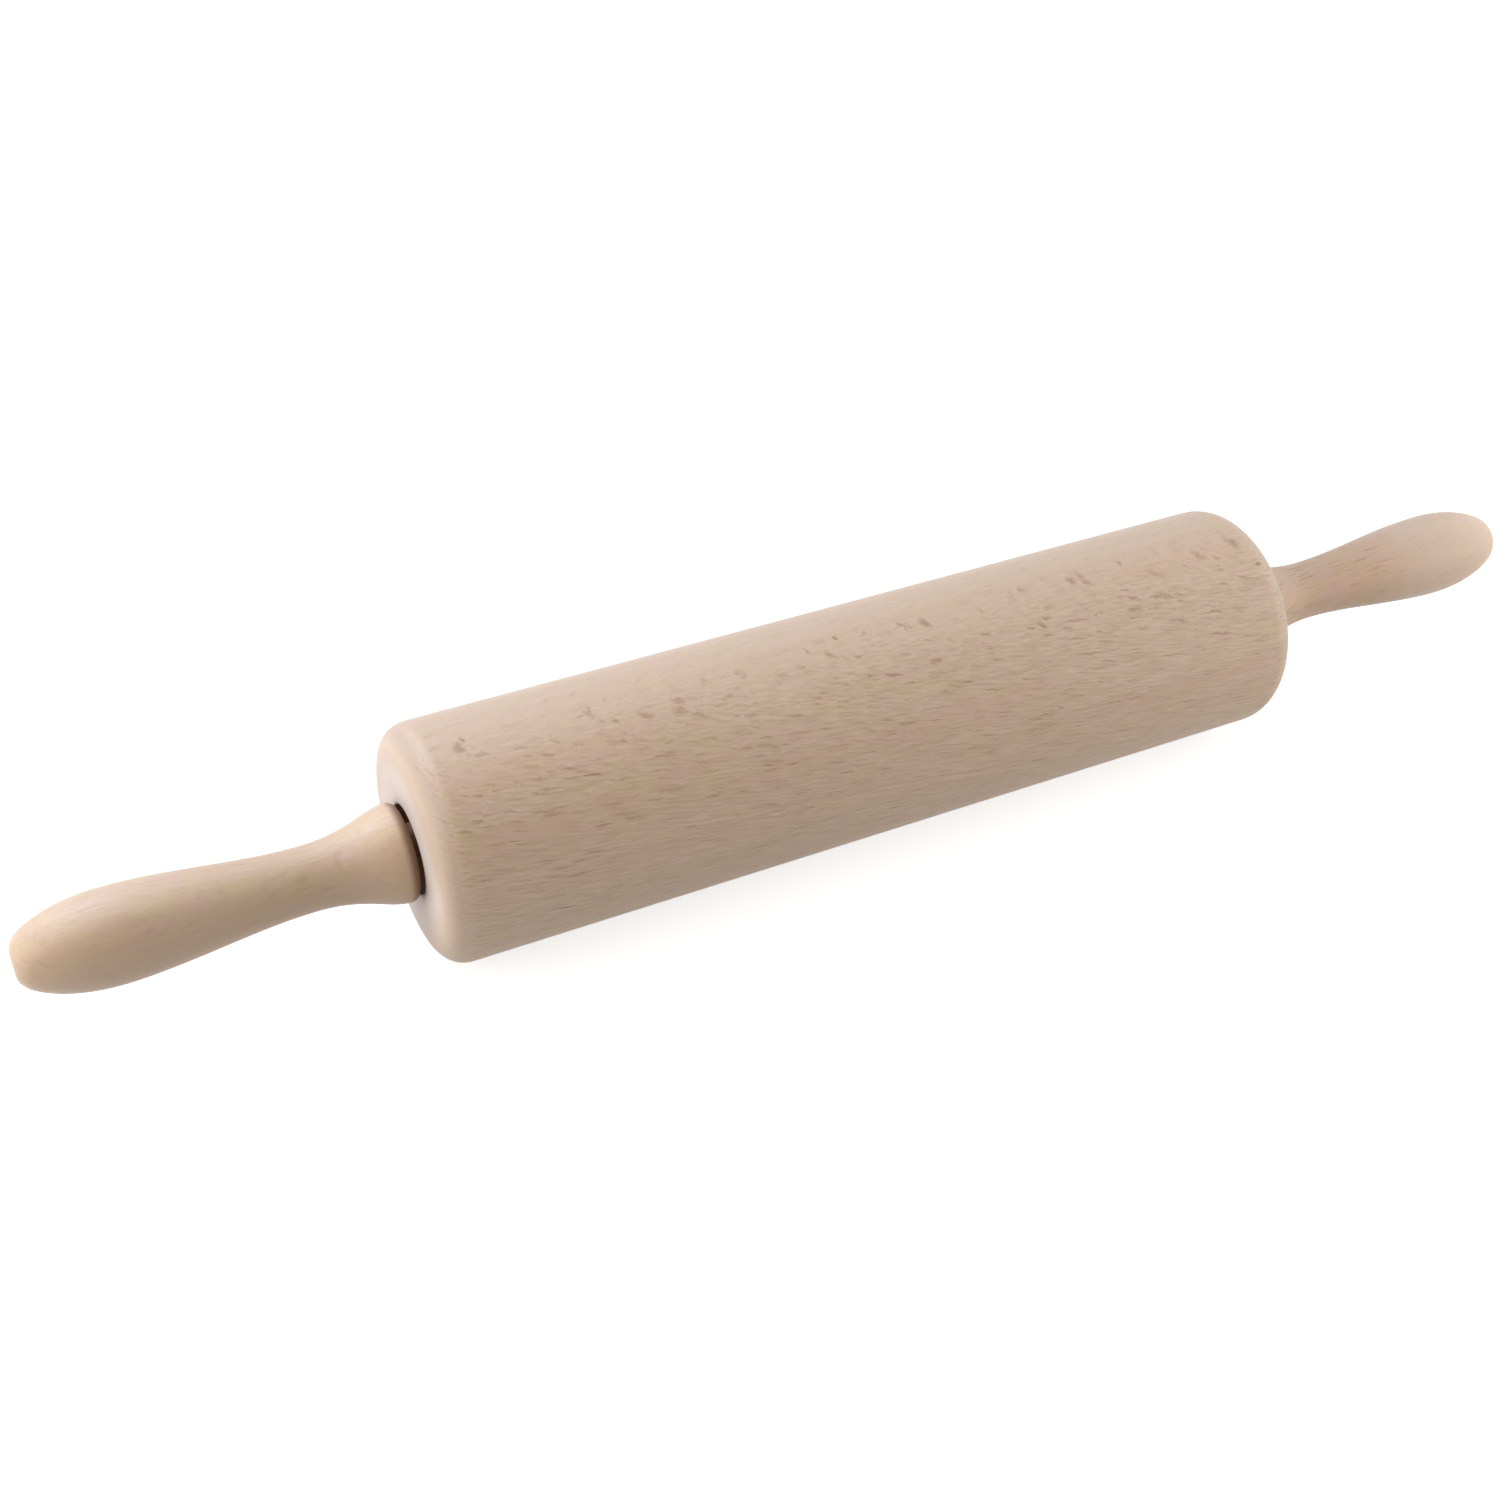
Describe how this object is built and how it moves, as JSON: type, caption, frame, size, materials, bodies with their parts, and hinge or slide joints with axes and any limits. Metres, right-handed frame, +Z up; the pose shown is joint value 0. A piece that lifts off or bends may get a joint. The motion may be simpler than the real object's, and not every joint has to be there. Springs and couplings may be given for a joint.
{
  "type": "rolling pin",
  "caption": "Turned beech rolling pin: a smooth barrel with rounded ends spins on sealed ball bearings round a steel axle held by a waisted handle at each end.",
  "frame": {"origin": "middle of the barrel, on the axle's axis, which is the centre of the whole pin", "axes": "+X along the axle towards the right handle, +Z up with a flat of the barrel below, +Y away from the viewer"},
  "size_m": [0.4244, 0.0598, 0.0598],
  "materials": {
    "barrel_beech": "fine-sanded, unfinished steamed beech",
    "handle_beech": "turned and sanded, unfinished beech",
    "axle_steel": "bright drawn",
    "bearing_steel": "ground and polished",
    "cage_nylon": "moulded nylon",
    "seal_rubber": "moulded nitrile rubber"
  },
  "bodies": {
    "axle_and_handles": {"axle": "axle_steel", "left_handle": "handle_beech", "right_handle": "handle_beech", "left_spacer_sleeve": "handle_beech", "right_spacer_sleeve": "handle_beech", "left_inner_race": "bearing_steel", "right_inner_race": "bearing_steel"},
    "barrel": {"barrel": "barrel_beech", "left_outer_race": "bearing_steel", "right_outer_race": "bearing_steel", "left_outer_seal": "seal_rubber", "left_inner_seal": "seal_rubber", "right_outer_seal": "seal_rubber", "right_inner_seal": "seal_rubber"},
    "left_cage": {"left_ball_cage": "cage_nylon", "left_ball_1": "bearing_steel", "left_ball_2": "bearing_steel", "left_ball_3": "bearing_steel", "left_ball_4": "bearing_steel", "left_ball_5": "bearing_steel", "left_ball_6": "bearing_steel", "left_ball_7": "bearing_steel"},
    "right_cage": {"right_ball_cage": "cage_nylon", "right_ball_1": "bearing_steel", "right_ball_2": "bearing_steel", "right_ball_3": "bearing_steel", "right_ball_4": "bearing_steel", "right_ball_5": "bearing_steel", "right_ball_6": "bearing_steel", "right_ball_7": "bearing_steel"}
  },
  "joints": [
    {"name": "barrel_spin", "type": "hinge", "parent": "axle_and_handles", "child": "barrel", "pos_m": [0, 0, 0], "axis": [1, 0, 0], "continuous": true},
    {"name": "left_cage_spin", "type": "hinge", "parent": "axle_and_handles", "child": "left_cage", "pos_m": [-0.11146, 0, 0], "axis": [1, 0, 0], "continuous": true},
    {"name": "right_cage_spin", "type": "hinge", "parent": "axle_and_handles", "child": "right_cage", "pos_m": [0.11146, 0, 0], "axis": [1, 0, 0], "continuous": true}
  ],
  "couplings": [
    {"joint": "left_cage_spin", "follows": "barrel_spin", "ratio": 0.6308},
    {"joint": "right_cage_spin", "follows": "barrel_spin", "ratio": 0.6308}
  ]
}
